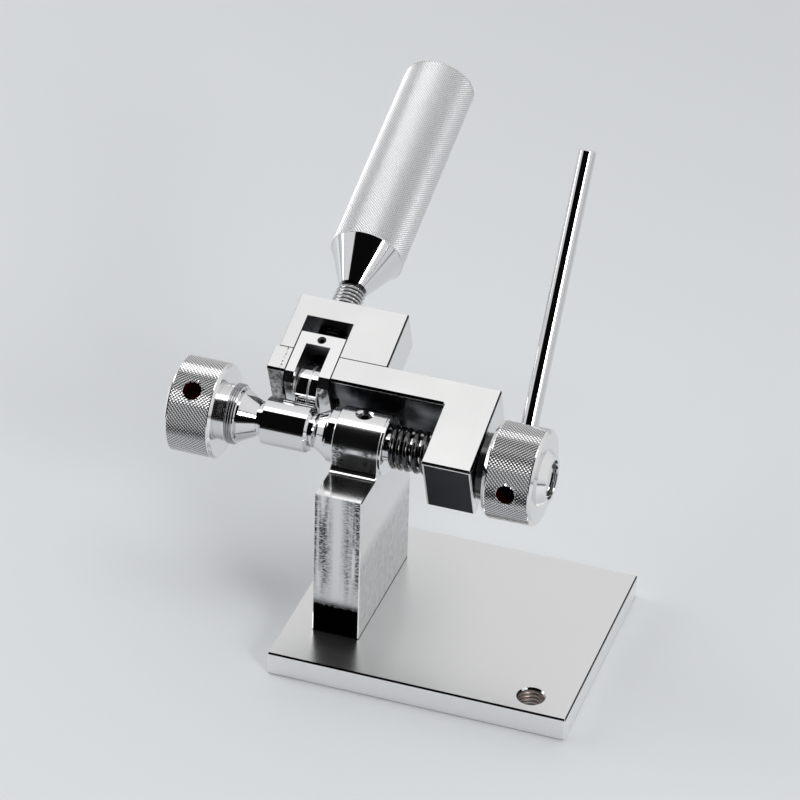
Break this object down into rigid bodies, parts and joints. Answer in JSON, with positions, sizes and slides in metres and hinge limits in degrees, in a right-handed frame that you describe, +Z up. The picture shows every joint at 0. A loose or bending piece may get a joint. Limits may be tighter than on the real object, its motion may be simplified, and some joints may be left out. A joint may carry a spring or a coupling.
{
  "type": "ring stretcher",
  "caption": "Bench ring stretcher: a swinging head with a screw-handled pressing roller works against a lower roller clamped on a fixed shaft.",
  "frame": {"origin": "centre of the base plate's underside", "axes": "+X along the shaft towards the knob with the tommy bar, -Y towards the front, where the operator stands, +Z up; the handle points back and up at rest"},
  "size_m": [0.1753, 0.2235, 0.186],
  "materials": {
    "ground_steel": "fine ground, bright nickel plated",
    "polished_steel": "turned and mirror polished",
    "knurled_steel": "diamond knurled, bright plated",
    "black_spring_steel": "oil blackened, glossy",
    "screw_steel": "black oxide",
    "bush_bronze": "turned bronze",
    "pin_steel": "ground"
  },
  "bodies": {
    "stand": {"base_plate": "ground_steel", "column": "ground_steel", "column_screws": "screw_steel", "boss_grub_screw": "screw_steel", "main_shaft": "polished_steel", "thrust_washer": "polished_steel", "spring": "black_spring_steel"},
    "lower_roller": {"lower_roller": "polished_steel"},
    "clamp": {"clamping_cone": "polished_steel", "clamp_washers": "polished_steel"},
    "left_knob": {"left_knob": "knurled_steel"},
    "head_carrier": {"dished_washers": "black_spring_steel"},
    "head": {"head_arm": "ground_steel", "side_cheek": "ground_steel", "head_block": "ground_steel", "head_screws": "screw_steel", "head_dowels": "pin_steel", "arm_bush": "bush_bronze"},
    "slider": {"slider": "ground_steel", "roller_axle": "pin_steel", "retaining_screw": "screw_steel"},
    "upper_roller": {"upper_roller": "polished_steel"},
    "handle": {"pressure_screw": "polished_steel", "handle_grip": "knurled_steel"},
    "right_knob": {"right_knob": "knurled_steel"},
    "tommy_bar": {"tommy_bar": "polished_steel"}
  },
  "joints": [
    {"name": "lower_roller_turn", "type": "hinge", "parent": "stand", "child": "lower_roller", "pos_m": [-0.07, 0, 0.082], "axis": [1, 0, 0], "continuous": true},
    {"name": "left_knob_travel", "type": "slide", "parent": "stand", "child": "clamp", "axis": [-1, 0, 0], "range_m": [-0.0001, 0.0061]},
    {"name": "left_knob_turn", "type": "hinge", "parent": "clamp", "child": "left_knob", "pos_m": [-0.106, 0, 0.082], "axis": [-1, 0, 0], "range_deg": [0, 1440]},
    {"name": "head_shift", "type": "slide", "parent": "stand", "child": "head_carrier", "axis": [1, 0, 0], "range_m": [-0.00045, 0.0008], "deforming": ["spring"]},
    {"name": "head_swing", "type": "hinge", "parent": "head_carrier", "child": "head", "pos_m": [0, 0, 0.082], "axis": [1, 0, 0], "range_deg": [0, 140.1]},
    {"name": "press_slide", "type": "slide", "parent": "head", "child": "slider", "axis": [0, -0.9404, -0.3402], "range_m": [-0.00705, 0.00075]},
    {"name": "upper_roller_spin", "type": "hinge", "parent": "slider", "child": "upper_roller", "pos_m": [-0.0666, 0.01824, 0.0886], "axis": [1, 0, 0], "continuous": true},
    {"name": "handle_turn", "type": "hinge", "parent": "slider", "child": "handle", "pos_m": [-0.0666, 0.05513, 0.10598], "axis": [0, -0.9404, -0.3402], "range_deg": [-1440, 144]},
    {"name": "right_knob_turn", "type": "hinge", "parent": "head_carrier", "child": "right_knob", "pos_m": [0.023, 0, 0.082], "axis": [1, 0, 0], "range_deg": [-80, 150]},
    {"name": "tommy_bar_slide", "type": "slide", "parent": "right_knob", "child": "tommy_bar", "axis": [0, 0.5807, 0.8141], "range_m": [0, 0.01]}
  ],
  "couplings": [
    {"joint": "left_knob_travel", "follows": "left_knob_turn", "m_per_rad": 0.00023873},
    {"joint": "head_shift", "follows": "right_knob_turn", "m_per_rad": 0.00027852},
    {"joint": "press_slide", "follows": "handle_turn", "m_per_rad": 0.00027852}
  ]
}
